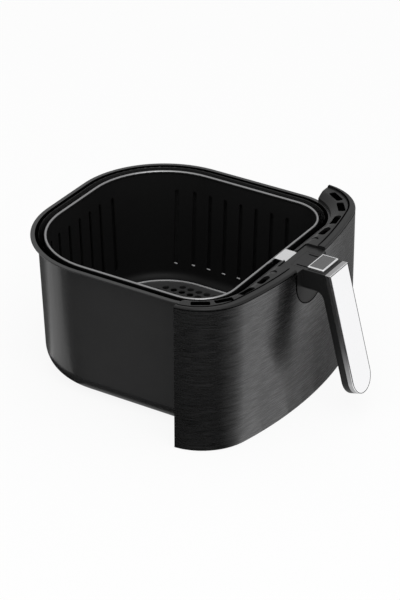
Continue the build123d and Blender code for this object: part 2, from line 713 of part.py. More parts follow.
def strap_space():
    half = STRAP_WIDTH / 2
    space = block(-half - FIT, half + FIT, strap_end - FIT, tongue_rear + over, strap_z - FIT,
                  strap_z + STRAP_SHEET + FIT)
    hole = extrude(Circle(SCREW_RADIUS + FIT), BRACKET_SCREW_LENGTH)
    for x in bracket_screw_places():
        space += Pos(x, bracket_screw_y, top_plate_z) * hole
    return space


def screw_space():
    sink = GRIP_THICKNESS / 2
    space = Part()
    for along in HANDLE_SCREW_PLACES:
        space += along_grip(0, along, trim_depth, back_depth + over, SCREW_RADIUS + FIT)
        space += along_grip(0, along, back_depth - sink, back_depth + over, SCREW_HEAD + RUN_GAP)
    return space


def make_handle_trim():
    trim = grip_prism(FACE_THICKNESS, trim_depth)
    for along in HANDLE_SCREW_PLACES:
        trim -= along_grip(0, along, FACE_THICKNESS + over, trim_depth, SCREW_RADIUS + FIT)
    return trim


def make_handle_face():
    face = grip_prism(0, FACE_THICKNESS)
    front = face.faces().sort_by(Axis((0, 0, 0), grip_plane().z_dir))[0]
    return fillet(front.edges(), FACE_THICKNESS / 3)


def make_handle_screws():
    sink = GRIP_THICKNESS / 2
    seat = back_depth - sink
    fastener = screw(SCREW_HEAD, HEAD_HEIGHT, SCREW_RADIUS, sink + TRIM_THICKNESS - over)
    return Compound([grip_plane() * Pos(0, along, seat) * fastener for along in HANDLE_SCREW_PLACES])


# Release button, latch lever and its pin and spring, sliding guard
def make_neck_cover():
    plate = block(-COVER_HALF, COVER_HALF, cover_front, cover_end, cover_z, deck_z)
    gap = BUTTON_GAP
    plate -= block(-BUTTON_HALF - gap, BUTTON_HALF + gap, button_front - gap,
                   button_front + BUTTON_LENGTH + gap, 0, far)
    for side in (-1, 1):
        x = side * RAIL_X
        room = RAIL_WIDTH / 2 + RUN_GAP
        plate -= block(x - room, x + room, rail_front - RUN_GAP,
                       rail_front + RAIL_LENGTH + GUARD_TRAVEL + RUN_GAP, 0, far)
    return plate


def make_release_button():
    back = button_front + BUTTON_LENGTH
    flange_top = cover_z - RUN_GAP
    flange_z = flange_top - FLANGE
    cap = block(-BUTTON_HALF, BUTTON_HALF, button_front, back, flange_z, deck_z - 2 * GUARD_CLEAR)
    cap = fillet(cap.edges().filter_by(Axis.Z), BUTTON_CORNER)
    cap = fillet(cap.faces().sort_by(Axis.Z)[-1].edges(), BUTTON_EDGE)
    half = BUTTON_HALF + FLANGE_RIM
    reach = BUTTON_GAP + COVER_GAP
    cap += block(-half, half, button_front - reach, back + reach, flange_z, flange_top)
    stem = Pos(0, stem_y, (lever_top + STEM_GAP + flange_z) / 2)
    return cap + stem * Box(STEM_WIDTH, STEM_LENGTH, flange_z - lever_top - STEM_GAP)


def make_latch_lever():
    arm_end = stem_y - LEVER_ARM
    arm_under = lever_top - LEVER_ARM
    tip = pocket_y - CATCH_SHEET + HOOK_REACH
    hook_top = hook_z + HOOK_HEIGHT
    half_hub = LEVER_HUB / 2
    arm = Polygon((pivot_y, pivot_z - half_hub), (pivot_y - half_hub, pivot_z + half_hub),
                  (stem_y + LEVER_ARM, arm_under), (arm_end, arm_under), (arm_end, lever_top),
                  (stem_y + LEVER_HUB, lever_top), (pivot_y, pivot_z + LEVER_HUB), align=None)
    claw = Polygon((pivot_y - LEVER_ARM, pivot_z), (pivot_y - half_hub, hook_top),
                   (tip - HOOK_HEIGHT / 2, hook_top), (tip, hook_z + HOOK_HEIGHT / 2), (tip, hook_z),
                   (tongue_back - HOOK_HEIGHT / 2, hook_z), (pivot_y + LEVER_ARM, pivot_z), align=None)
    hub = Pos(pivot_y, pivot_z)
    outline = hub * Circle(LEVER_HUB) + arm + claw - hub * Circle(PIN_RADIUS + RUN_CLEAR)
    return extrude(Plane.YZ * outline, LEVER_THICKNESS / 2, both=True)


def make_latch_pin():
    return Pos(0, pivot_y, pivot_z) * Rot(0, 90, 0) * Cylinder(PIN_RADIUS, PIN_LENGTH)


def make_return_spring():
    """Leaf spring: a tab in the neck's floor, a flat foot and a tongue up to the lever."""
    root = pivot_y - SPRING_ROOT
    bend = root - SPRING_FOOT
    tip_y = stem_y - over
    tip_z = lever_top - LEVER_ARM - SPRING_SHEET / 2
    tab_z = neck_floor - SPRING_TAB
    foot_top = neck_floor + SPRING_SHEET
    outline = Polygon((root, tab_z), (root + SPRING_SHEET, tab_z), (root + SPRING_SHEET, foot_top),
                      (bend - SPRING_SHEET / 2, foot_top), (tip_y, tip_z), (tip_y, tip_z - SPRING_SHEET),
                      (bend, neck_floor), (root, neck_floor), align=None)
    return extrude(Plane.YZ * outline, SPRING_WIDTH / 2, both=True)


def make_guard_window():
    front = guard_front + GUARD_RIM
    z0 = deck_z + GUARD_CLEAR + GUARD_LEDGE
    inner = GUARD_HALF - GUARD_RIM
    top = deck_z + GUARD_CLEAR + GUARD_HEIGHT - GUARD_LEDGE / 2
    return block(-inner, inner, front, guard_front + GUARD_LENGTH - GUARD_RIM, z0, top)


def make_guard_frame():
    front = guard_front
    back = front + GUARD_LENGTH
    z0 = deck_z + GUARD_CLEAR
    frame = block(-GUARD_HALF, GUARD_HALF, front, back, z0, z0 + GUARD_HEIGHT)
    frame = fillet(frame.edges().filter_by(Axis.Z), GUARD_CORNER)
    frame = chamfer(frame.faces().sort_by(Axis.Z)[-1].edges(), GUARD_HEIGHT / 4)
    inner = GUARD_HALF - GUARD_RIM
    frame -= block(-inner, inner, front + GUARD_RIM, back - GUARD_RIM, z0 + GUARD_LEDGE, far)
    inner = RAIL_X - RAIL_WIDTH
    frame -= block(-inner, inner, front + GUARD_RIM, back - GUARD_RIM, z0, far)
    foot_top = cover_z - RUN_GAP
    for side in (-1, 1):
        x = side * RAIL_X
        rail0 = rail_front
        rail1 = rail0 + RAIL_LENGTH
        half = RAIL_WIDTH / 2
        frame += block(x - half, x + half, rail0, rail1, foot_top - FOOT_HEIGHT, z0)
        half = FOOT_WIDTH / 2
        frame += block(x - half, x + half, rail0, rail1, foot_top - FOOT_HEIGHT, foot_top)
    return frame


os.makedirs("parts", exist_ok=True)
write("outer_pan", make_outer_pan())
write("front_housing", make_front_housing())
write("inner_cover", make_inner_cover())
write("panel_skin", make_panel_skin())
write("vent_ring_left", make_vent_ring(-1))
write("vent_ring_right", make_vent_ring(1))
write("ring_screws", make_ring_screws())
write("pan_screws", make_pan_screws())
write("catch_plate", make_catch_plate())
write("catch_screws", make_catch_screws())
write("basket", make_basket())
write("basket_floor", make_basket_floor())
write("handle_bracket", make_handle_bracket())
write("bracket_rivets", make_bracket_rivets())
write("bracket_screws", make_bracket_screws())
write("handle_body", make_handle_body())
write("neck_cover", make_neck_cover())
write("handle_trim", make_handle_trim())
write("handle_face", make_handle_face())
write("handle_screws", make_handle_screws())
write("latch_pin", make_latch_pin())
write("return_spring", make_return_spring())
write("release_button", make_release_button())
write("latch_lever", make_latch_lever())
write("guard_frame", make_guard_frame())
write("guard_window", make_guard_window())
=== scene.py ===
# %% [markdown]
# # Drawer of an air fryer
# A coated pan holds a lift-out basket, a curved front of black brushed metal, and a handle with a guarded
# release button. The measured solids come in first as a fixed frame. Each later step takes one piece or
# one finish, so that the frame stays true and only the looks are added.

# %% Frame
import json
import math

import bmesh
import bpy
from mathutils import Matrix, Vector


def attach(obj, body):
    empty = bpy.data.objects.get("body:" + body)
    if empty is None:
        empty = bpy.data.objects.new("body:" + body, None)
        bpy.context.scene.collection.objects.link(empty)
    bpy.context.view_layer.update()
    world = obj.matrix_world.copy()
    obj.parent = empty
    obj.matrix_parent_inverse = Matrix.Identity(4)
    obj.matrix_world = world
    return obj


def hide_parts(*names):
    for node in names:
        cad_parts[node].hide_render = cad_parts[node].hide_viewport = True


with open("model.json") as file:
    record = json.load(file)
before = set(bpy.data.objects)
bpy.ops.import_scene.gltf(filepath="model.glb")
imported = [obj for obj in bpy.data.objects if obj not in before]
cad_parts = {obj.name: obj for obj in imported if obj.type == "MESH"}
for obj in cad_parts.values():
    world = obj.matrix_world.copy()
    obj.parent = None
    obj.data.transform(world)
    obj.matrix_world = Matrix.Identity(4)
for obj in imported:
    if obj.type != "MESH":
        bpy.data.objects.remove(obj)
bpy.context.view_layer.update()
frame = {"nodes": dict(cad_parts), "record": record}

MM = 0.001
slot_of = {part["node"]: part["material_slot"] for part in frame["record"]["subparts"]}
body_of = {node: body for body, nodes in frame["record"]["behaviour"]["bodies"].items() for node in nodes}

# %% [markdown]
# ## Camera
# The picture was taken from the front left, a little above, with a long lens. The angles, the distance
# and the focal length were found by fitting the rim of the basket to the picture. A camera could also be
# turned by eye, but a fitted one lets every edge be compared in place. The lens is aimed, not shifted, so
# that views from other sides stay centred.

# %% Camera
IMAGE_SIZE = (400, 600)
SENSOR = 36.0
VIEW_AZIMUTH = -57.4
VIEW_ELEVATION = 27.85
VIEW_DISTANCE = 2530 * MM
FOCAL_PIXELS = 2645.0
RIM_CENTRE = Vector((0, 0, 140 * MM))
RIM_CENTRE_PIXEL = (174.6, 229.3)


def view_axes(azimuth, elevation):
    """Directions back to the viewer, to the right and up in the picture."""
    a = math.radians(azimuth)
    e = math.radians(elevation)
    back = Vector((math.sin(a) * math.cos(e), -math.cos(a) * math.cos(e), math.sin(e)))
    right = Vector((math.cos(a), math.sin(a), 0))
    return back, right, back.cross(right)


def add_camera():
    """Camera that sees the centre of the rim at its place in the picture."""
    back, right, up = view_axes(VIEW_AZIMUTH, VIEW_ELEVATION)
    place = RIM_CENTRE + back * VIEW_DISTANCE
    per_pixel = VIEW_DISTANCE / FOCAL_PIXELS
    across = IMAGE_SIZE[0] / 2 - RIM_CENTRE_PIXEL[0]
    down = IMAGE_SIZE[1] / 2 - RIM_CENTRE_PIXEL[1]
    aim = RIM_CENTRE + right * across * per_pixel - up * down * per_pixel
    lens = bpy.data.cameras.new("camera")
    lens.sensor_width = SENSOR
    lens.lens = FOCAL_PIXELS / IMAGE_SIZE[1] * SENSOR
    camera = bpy.data.objects.new("camera", lens)
    camera.location = place
    camera.rotation_euler = (aim - place).to_track_quat("-Z", "Y").to_euler()
    bpy.context.scene.collection.objects.link(camera)
    bpy.context.scene.camera = camera
    print("camera:", round(lens.lens, 1), "mm lens at", [round(c, 3) for c in place])


add_camera()

# %% [markdown]
# ## Floor and light
# The picture has a pure white ground. A white floor that also glows for the camera gives that ground and
# still keeps a soft shadow. The light itself is an even white sky and two soft panels, one overhead and
# one that shines into the basket. More lamps would also light the drawer, but black metal shows little
# but what it mirrors, so the mirrored floor matters more.

# %% Floor and light
FLOOR_HALF = 4.0
FLOOR_SHADE, FLOOR_ROUGHNESS, FLOOR_SHEEN = 0.9, 0.9, 0.1
FLOOR_GLOW = 0.9
SKY = 0.7
PANELS = {
    "above": {"azimuth": -40, "elevation": 80, "distance": 1.5, "size": (1.0, 1.0), "radiance": 1.0},
    "front": {"azimuth": -42, "elevation": 50, "distance": 1.6, "size": (0.9, 0.9), "radiance": 2.4},
}


def add_panel(name, azimuth, elevation, distance, size, radiance):
    """Soft lamp that faces the middle of the drawer."""
    back, _, _ = view_axes(azimuth, elevation)
    lamp = bpy.data.lights.new("panel_" + name, "AREA")
    lamp.shape = "RECTANGLE"
    lamp.size, lamp.size_y = size
    lamp.energy = radiance * math.pi * size[0] * size[1]
    panel = bpy.data.objects.new(lamp.name, lamp)
    panel.location = RIM_CENTRE / 2 + back * distance
    panel.rotation_euler = (-back).to_track_quat("-Z", "Y").to_euler()
    bpy.context.scene.collection.objects.link(panel)


def add_sky():
    """Even white light from all round."""
    sky = bpy.data.worlds.new("sky")
    sky.use_nodes = True
    background = sky.node_tree.nodes["Background"]
    background.inputs["Color"].default_value = (1, 1, 1, 1)
    background.inputs["Strength"].default_value = SKY
    bpy.context.scene.world = sky


def seen_directly(nodes, links):
    """Mask of 1 where a ray comes from the camera, a mirror-like surface or clear plastic."""
    path = nodes.new("ShaderNodeLightPath")
    first = nodes.new("ShaderNodeMath")
    first.operation = "MAXIMUM"
    links.new(path.outputs["Is Camera Ray"], first.inputs[0])
    links.new(path.outputs["Is Glossy Ray"], first.inputs[1])
    second = nodes.new("ShaderNodeMath")
    second.operation = "MAXIMUM"
    links.new(first.outputs[0], second.inputs[0])
    links.new(path.outputs["Is Transmission Ray"], second.inputs[1])
    return second.outputs[0]


def floor_paint():
    """White paint that takes a shadow and glows where it is seen directly."""
    material = bpy.data.materials.new("floor_white")
    material.use_nodes = True
    nodes, links = material.node_tree.nodes, material.node_tree.links
    shader = nodes["Principled BSDF"]
    shader.inputs["Base Color"].default_value = (FLOOR_SHADE, FLOOR_SHADE, FLOOR_SHADE, 1)
    shader.inputs["Roughness"].default_value = FLOOR_ROUGHNESS
    shader.inputs["Specular IOR Level"].default_value = FLOOR_SHEEN
    glow = nodes.new("ShaderNodeEmission")
    mix = nodes.new("ShaderNodeMixShader")
    share = nodes.new("ShaderNodeMath")
    share.operation = "MULTIPLY"
    share.inputs[1].default_value = FLOOR_GLOW
    links.new(seen_directly(nodes, links), share.inputs[0])
    links.new(share.outputs[0], mix.inputs["Fac"])
    links.new(shader.outputs[0], mix.inputs[1])
    links.new(glow.outputs[0], mix.inputs[2])
    links.new(mix.outputs[0], nodes["Material Output"].inputs["Surface"])
    return material


def stage_sheet(bm, name, material):
    """Flat sheet that belongs to the studio and not to the drawer."""
    mesh = bpy.data.meshes.new(name)
    bm.to_mesh(mesh)
    bm.free()
    mesh.materials.append(material)
    sheet = bpy.data.objects.new(name, mesh)
    bpy.context.scene.collection.objects.link(sheet)
    return sheet


bpy.context.scene.view_settings.view_transform = "Standard"
add_sky()
for panel_name, panel in PANELS.items():
    add_panel(panel_name, **panel)
floor_mesh = bmesh.new()
bmesh.ops.create_grid(floor_mesh, x_segments=1, y_segments=1, size=FLOOR_HALF)
stage_sheet(floor_mesh, "floor", floor_paint())
print("light: sky", SKY, "and", len(PANELS), "panels over a floor", 2 * FLOOR_HALF, "m wide")

# %% [markdown]
# ## Gray cards
# A photographer shapes the reflections in black metal with gray cards round the object. Here the walls
# mirror the floor beside them, so the cards lie on the floor. Each has a level, where 1 is white, and an
# outline in millimetres. Their open gaps give the bright band on the metal front and the line on the
# pan's far corner. Round the near corner a fan of narrow cards rises from black to white, so the band
# fades in softly. Only mirrored rays see the cards: the ground stays white and the light even.

# %% Gray cards
CARD_HEIGHT = 0.5 * MM
CARDS = {
    "under": (0.32, ((-109, -80), (105, -80), (105, 80), (-70, 80), (-109, 40))),
    "foot": (0.01, ((-126, -85), (-109, -85), (-109, 40), (-70, 80), (-70, 118), (-100, 108), (-126, 64))),
    "left": (0.19, ((-126, -95), (-126, 42), (-900, 620), (-1200, 592))),
    "far_left": (0.09, ((-126, 42), (-126, 64), (-520, 992), (-900, 992), (-900, 620))),
    "corner": (0.03, ((-93, -96), (-126, -95), (-1200, 592), (-1500, 592), (-1500, -1300), (-1300, -1296),
                      (-130, -126))),
    "front_soft": (0.8, ((-78, -140), (-10, -250), (60, -250), (-45, -140))),
    "front_right": (0.5, ((-45, -140), (60, -250), (125, -250), (-28, -140))),
    "front_low": (0.36, ((-28, -140), (125, -250), (190, -250), (-10, -140))),
    "right": (0.22, ((-10, -140), (190, -250), (900, -250), (900, 100), (110, 100), (110, -120),
                     (100, -140))),
    "behind": (0.1, ((-88, 80), (57, 1200), (1200, 1200), (1200, 60), (0, 60))),
}
FAN_CENTRE, FAN_RADIUS, FAN_LENGTH = (-93, -96), 48, 1400
FAN_STEP = 3
FAN_STOPS = ((-45, 0.02), (-24, 0.03), (-10, 0.11), (0, 0.19), (10, 0.29), (19, 0.46), (25, 0.61), (31, 0.78),
             (39, 1.0))


def card_paint(name, level):
    """Even gray that doesn't depend on the light."""
    material = bpy.data.materials.new("card_" + name)
    material.use_nodes = True
    nodes, links = material.node_tree.nodes, material.node_tree.links
    nodes.remove(nodes["Principled BSDF"])
    glow = nodes.new("ShaderNodeEmission")
    glow.inputs["Strength"].default_value = level
    links.new(glow.outputs[0], nodes["Material Output"].inputs["Surface"])
    return material


def add_card(name, level, outline):
    """Flat card on the floor that only mirrored rays see."""
    bm = bmesh.new()
    bm.faces.new([bm.verts.new((x * MM, y * MM, CARD_HEIGHT)) for x, y in outline])
    card = stage_sheet(bm, "card_" + name, card_paint(name, level))
    card.visible_camera = False
    card.visible_diffuse = False
    card.visible_transmission = False
    card.visible_shadow = False


def fan_level(azimuth):
    """Level between two stops of the fan, on a straight line."""
    for (low, low_level), (high, high_level) in zip(FAN_STOPS, FAN_STOPS[1:]):
        if low <= azimuth <= high:
            return low_level + (high_level - low_level) * (azimuth - low) / (high - low)


def fan_edge(azimuth):
    """Start and end of the line on the floor that the round near corner mirrors in one direction."""
    turn, way = math.radians(-(VIEW_AZIMUTH + azimuth) / 2), math.radians(azimuth)
    x = FAN_CENTRE[0] - FAN_RADIUS * math.sin(turn)
    y = FAN_CENTRE[1] - FAN_RADIUS * math.cos(turn)
    return (x, y), (x + FAN_LENGTH * math.sin(way), y - FAN_LENGTH * math.cos(way))


for card_name, (card_level, card_outline) in CARDS.items():
    add_card(card_name, card_level, card_outline)
fan_count = (FAN_STOPS[-1][0] - FAN_STOPS[0][0]) // FAN_STEP
for number in range(fan_count):
    azimuth = FAN_STOPS[0][0] + number * FAN_STEP
    near, far = fan_edge(azimuth)
    next_near, next_far = fan_edge(azimuth + FAN_STEP)
    fan_outline = (FAN_CENTRE, near, far, next_far, next_near)
    add_card(f"fan_{number}", fan_level(azimuth + FAN_STEP / 2), fan_outline)
print("cards:", {name: level for name, (level, _) in CARDS.items()}, "and a fan of", fan_count)

# %% [markdown]
# ## Shared surface effects
# A few effects return on most finishes, so each is one node group with named inputs. Grain is the fine
# uneven skin of a sprayed or moulded surface. Brush marks are the short level lines of a brushed sheet:
# the same noise, drawn out along the sheet, in a coarse and a fine kind. Smudges are the soft dull spots
# on polished metal. A photo texture would also do, but noise in object space has no seams and no size
# limit.

# %% Shared surface effects
FINE_DETAIL, BROAD_DETAIL = 4.0, 3.0


def new_group(name, inputs):
    """Empty node group with colour, roughness and height coming out."""
    group = bpy.data.node_groups.new(name, "ShaderNodeTree")
    for label, kind, value in inputs:
        socket = group.interface.new_socket(label, in_out="INPUT", socket_type=kind)
        socket.default_value = value
    group.interface.new_socket("Color", in_out="OUTPUT", socket_type="NodeSocketColor")
    group.interface.new_socket("Roughness", in_out="OUTPUT", socket_type="NodeSocketFloat")
    group.interface.new_socket("Height", in_out="OUTPUT", socket_type="NodeSocketFloat")
    start, end = group.nodes.new("NodeGroupInput"), group.nodes.new("NodeGroupOutput")
    return group, group.nodes, group.links, start, end


def noise(nodes, links, vector, scale, detail):
    texture = nodes.new("ShaderNodeTexNoise")
    texture.inputs["Detail"].default_value = detail
    texture.inputs["Scale"].default_value = scale
    links.new(vector, texture.inputs["Vector"])
    return texture.outputs["Fac"]


def vary(nodes, links, mask, spread):
    """Number near 1 that follows a mask, by a spread to each side."""
    centred = nodes.new("ShaderNodeMath")
    centred.operation = "SUBTRACT"
    links.new(mask, centred.inputs[0])
    centred.inputs[1].default_value = 0.5
    scaled = nodes.new("ShaderNodeMath")
    scaled.operation = "MULTIPLY_ADD"
    links.new(centred.outputs[0], scaled.inputs[0])
    links.new(spread, scaled.inputs[1])
    scaled.inputs[2].default_value = 1.0
    return scaled.outputs[0]


def times(nodes, links, first, second):
    product = nodes.new("ShaderNodeMath")
    product.operation = "MULTIPLY"
    links.new(first, product.inputs[0])
    links.new(second, product.inputs[1])
    return product.outputs[0]


def scaled_colour(nodes, links, colour, factor):
    scale = nodes.new("ShaderNodeVectorMath")
    scale.operation = "SCALE"
    links.new(colour, scale.inputs[0])
    links.new(factor, scale.inputs["Scale"])
    return scale.outputs["Vector"]


def surface_group(name, stretch, fine_scale, broad_scale):
    """Fine and broad noise in object space, the fine one stretched along chosen axes."""
    group, nodes, links, start, end = new_group(name, [
        ("Color", "NodeSocketColor", (0.1, 0.1, 0.1, 1)), ("Roughness", "NodeSocketFloat", 0.4),
        ("Fine spread", "NodeSocketFloat", 0.3), ("Broad spread", "NodeSocketFloat", 0.2),
        ("Gloss spread", "NodeSocketFloat", 0.3)])
    place = nodes.new("ShaderNodeTexCoord").outputs["Object"]
    mapping = nodes.new("ShaderNodeMapping")
    mapping.inputs["Scale"].default_value = stretch
    links.new(place, mapping.inputs["Vector"])
    fine = noise(nodes, links, mapping.outputs["Vector"], fine_scale, FINE_DETAIL)
    broad = noise(nodes, links, place, broad_scale, BROAD_DETAIL)
    tint = times(nodes, links, vary(nodes, links, fine, start.outputs["Fine spread"]),
                 vary(nodes, links, broad, start.outputs["Broad spread"]))
    gloss = vary(nodes, links, fine, start.outputs["Gloss spread"])
    links.new(scaled_colour(nodes, links, start.outputs["Color"], tint), end.inputs["Color"])
    links.new(times(nodes, links, start.outputs["Roughness"], gloss), end.inputs["Roughness"])
    links.new(fine, end.inputs["Height"])
    return group


grain = surface_group("grain", stretch=(1, 1, 1), fine_scale=1900.0, broad_scale=22.0)
brush = surface_group("brush", stretch=(0.07, 0.07, 1), fine_scale=900.0, broad_scale=9.0)
fine_brush = surface_group("fine_brush", stretch=(0.02, 0.02, 1), fine_scale=1600.0, broad_scale=20.0)
smudges = surface_group("smudges", stretch=(1, 1, 1), fine_scale=45.0, broad_scale=14.0)
print("groups:", [group.name for group in (grain, brush, fine_brush, smudges)])

# %% [markdown]
# ## Finishes
# Each finish is a Principled shader with one of the groups in front of it. What stays the same all over a
# finish, such as how metallic it is, is set on the shader itself. What changes over the surface comes
# from the group.

# %% Finishes
RELIEF_DEPTH = 0.2 * MM
COOL_TINT = 1.01


def finish(name, effect, shade, roughness, fine, broad, gloss, bump, **constants):
    """Procedural material of one near-neutral shade with fine, broad and gloss variation."""
    material = bpy.data.materials.new(name)
    material.use_nodes = True
    nodes, links = material.node_tree.nodes, material.node_tree.links
    shader = nodes["Principled BSDF"]
    group = nodes.new("ShaderNodeGroup")
    group.node_tree = effect
    group.inputs["Color"].default_value = (shade, shade, shade * COOL_TINT, 1)
    group.inputs["Roughness"].default_value = roughness
    group.inputs["Fine spread"].default_value = fine
    group.inputs["Broad spread"].default_value = broad
    group.inputs["Gloss spread"].default_value = gloss
    links.new(group.outputs["Color"], shader.inputs["Base Color"])
    links.new(group.outputs["Roughness"], shader.inputs["Roughness"])
    relief = nodes.new("ShaderNodeBump")
    relief.inputs["Strength"].default_value = bump
    relief.inputs["Distance"].default_value = RELIEF_DEPTH
    links.new(group.outputs["Height"], relief.inputs["Height"])
    links.new(relief.outputs["Normal"], shader.inputs["Normal"])
    for socket, value in constants.items():
        shader.inputs[socket.replace("_", " ")].default_value = value
    return material


# The six numbers are the shade, the roughness, the fine, broad and gloss spread, and the relief's strength.
finishes = {
    "nonstick_black": finish("nonstick_black", grain, 0.02, 0.26, 0.4, 0.25, 0.25, 0.08,
                             Specular_IOR_Level=0.4),
    "black_plastic": finish("black_plastic", grain, 0.010, 0.36, 0.3, 0.2, 0.3, 0.2,
                            Specular_IOR_Level=0.27),
    "black_brushed": finish("black_brushed", brush, 0.118, 0.27, 1.5, 0.15, 0.4, 0.1,
                            Metallic=1.0, Anisotropic=0.8, Anisotropic_Rotation=0.25),
    "polished_face": finish("polished_face", smudges, 0.93, 0.06, 0.02, 0.02, 0.5, 0.02, Metallic=1.0),
    "satin_trim": finish("satin_trim", fine_brush, 0.46, 0.3, 0.12, 0.1, 0.3, 0.04, Metallic=1.0),
    "bare_steel": finish("bare_steel", fine_brush, 0.83, 0.24, 0.15, 0.06, 0.5, 0.08, Metallic=1.0),
    "zinc_steel": finish("zinc_steel", grain, 0.45, 0.3, 0.3, 0.2, 0.3, 0.08, Metallic=1.0),
    "bright_rim": finish("bright_rim", smudges, 0.34, 0.34, 0.08, 0.1, 0.4, 0.02, Metallic=1.0),
    "clear_plastic": finish("clear_plastic", smudges, 0.17, 0.15, 0.06, 0.06, 0.5, 0.02,
                            Transmission_Weight=0.5, IOR=1.46),
    "button_black": finish("button_black", grain, 0.012, 0.3, 0.3, 0.2, 0.3, 0.1),
    "black_screw": finish("black_screw", grain, 0.02, 0.4, 0.4, 0.3, 0.3, 0.1),
}
# Painted shade: the nonstick coat in a darker copy, so the basket's deep inside looks shaded.
shaded_basket_coat = finish("shaded_basket_coat", grain, 0.008, 0.5, 0.4, 0.25, 0.25, 0.12, Specular_IOR_Level=0.14)
# Painted light: the nonstick coat in a lighter copy, so the upturned floor plate looks lit.
lit_plate_coat = finish("lit_plate_coat", grain, 0.05, 0.42, 0.4, 0.25, 0.25, 0.15)
# Painted shade: a near-black with no sheen, put where only shadow or the mirror of a dark gap is seen.
painted_shade = finish("painted_shade", grain, 0.0006, 0.9, 0.3, 0.2, 0.2, 0.05, Specular_IOR_Level=0.0)
# Painted highlight: a light, half-metallic grey for the bright line on the plate's edge and the slots'
# glints.
painted_highlight = finish("painted_highlight", smudges, 0.5, 0.5, 0.2, 0.3, 0.4, 0.04, Metallic=0.3)
guard_edge = finish("guard_edge", smudges, 0.94, 0.1, 0.03, 0.03, 0.4, 0.02, Metallic=1.0)
own_finishes = (shaded_basket_coat, lit_plate_coat, painted_shade, painted_highlight, guard_edge)
print("finishes:", len(finishes), "from the record and", len(own_finishes), "of the scene's own")

# %% [markdown]
# ## Dressed solids
# A solid arrives as loose triangles. Joining them, and dissolving the edges inside flat areas, gives back
# the faces that the maker drew. Moulded edges are never razor sharp, so a small bevel is cut along them,
# which catches the light. Weighted normals then keep large flat faces flat beside the bevels.

# %% Dressed solids
FLAT_ANGLE = math.radians(0.4)
SHARP_ANGLE = math.radians(34)
MERGE = 0.002 * MM


def joined(node):
    """Mesh of a CAD node with its triangles joined and its flat areas whole."""
    bm = bmesh.new()
    bm.from_mesh(frame["nodes"][node].data)
    bmesh.ops.remove_doubles(bm, verts=bm.verts, dist=MERGE)
    bmesh.ops.dissolve_limit(bm, angle_limit=FLAT_ANGLE, verts=bm.verts, edges=bm.edges)
    return bm


def place_piece(bm, name, body, slot, material=None):
    """Smooth-shaded object from a bmesh, riding on a body, in the record's finish for its slot unless a
    material is given.
    """
    mesh = bpy.data.meshes.new(name)
    bm.to_mesh(mesh)
    bm.free()
    mesh.shade_smooth()
    mesh.set_sharp_from_angle(angle=SHARP_ANGLE)
    piece = bpy.data.objects.new(name, mesh)
    bpy.context.scene.collection.objects.link(piece)
    mesh.materials.clear()
    mesh.materials.append(material or finishes[slot])
    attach(piece, body)
    return piece


def ease_edges(piece, width):
    """Small rounding on the sharp edges, cut last so that the mesh stays plain."""
    bevel = piece.modifiers.new("eased edges", "BEVEL")
    bevel.width = width
    bevel.segments = 2
    bevel.limit_method = "ANGLE"
    bevel.angle_limit = SHARP_ANGLE
    bevel.harden_normals = True


def even_normals(piece):
    """Shading that follows the large faces."""
    weighted = piece.modifiers.new("even normals", "WEIGHTED_NORMAL")
    weighted.keep_sharp = True


def dress(node, name, edge=0.0, material=None):
    """Piece in place of a CAD node, with its edges eased by some millimetres."""
    piece = place_piece(joined(node), name, body_of[node], slot_of[node], material)
    if edge:
        ease_edges(piece, edge * MM)
    even_normals(piece)
    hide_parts(node)
    print(name, "stands for", node, "with", len(piece.data.polygons), "faces")


dress("outer_pan", "pan_shell")
# The basket wears the darker copy of the nonstick coat, as painted shade on its inside.
dress("basket", "basket_wall", material=shaded_basket_coat)
dress("panel_skin", "front_sheet")
dress("front_housing", "front_moulding", edge=0.5)
dress("inner_cover", "back_cover")
for side in ("left", "right"):
    dress("vent_ring_" + side, "vent_moulding_" + side, edge=0.6)
dress("handle_body", "handle_moulding", edge=0.35)
dress("neck_cover", "neck_plate", edge=0.25)
dress("handle_trim", "handle_side_strip", edge=0.3)
dress("handle_face", "handle_front", edge=0.2)
dress("handle_bracket", "strap", edge=0.2)
dress("guard_frame", "guard_rim", edge=0.15, material=guard_edge)
dress("guard_window", "guard_pane", edge=0.2)
dress("release_button", "button_cap")
for node in ("ring_screws", "pan_screws", "catch_plate", "catch_screws", "bracket_rivets", "bracket_screws",
             "handle_screws", "latch_pin", "return_spring", "latch_lever"):
    dress(node, node.replace("_", "-"))

# %% [markdown]
# ## Bright rim and plate highlight
# The basket's rim is rolled round a wire in a bright metal finish, and the floor plate's edge gets a painted
# highlight: a thin light wire.
# Both follow the basket's outline: four straight runs and four quarter turns. A curve with a round bevel
# would do as well. Here a circle is spun round each corner and pushed along each run, so every corner
# keeps its exact radius.

# %% Bright rim and plate highlight
HALF_WIDTH, HALF_DEPTH = 110.0, 111.2
FRONT_CORNER, BACK_CORNER = 38.3, 79.0
CORNER_STEPS = 18
WELD = 0.01 * MM
RIM_WIRE = {"offset": 0.0, "height": 140.6, "radius": 1.3, "sides": 24}
# The plate's painted highlight: a thin light wire along its edge.
PLATE_HIGHLIGHT = {"offset": -15.4, "height": 25.1, "radius": 0.9, "sides": 8}


def edges_in(parts):
    return [part for part in parts if isinstance(part, bmesh.types.BMEdge)]


def verts_in(parts):
    return [part for part in parts if isinstance(part, bmesh.types.BMVert)]


def add_run(bm, ring, shift):
    """Push a ring of edges along a shift and give back the ring at its tip."""
    pushed = bmesh.ops.extrude_edge_only(bm, edges=ring)["geom"]
    tip = verts_in(pushed)
    bmesh.ops.translate(bm, verts=tip, vec=shift)
    return [edge for edge in edges_in(pushed) if set(edge.verts) <= set(tip)]


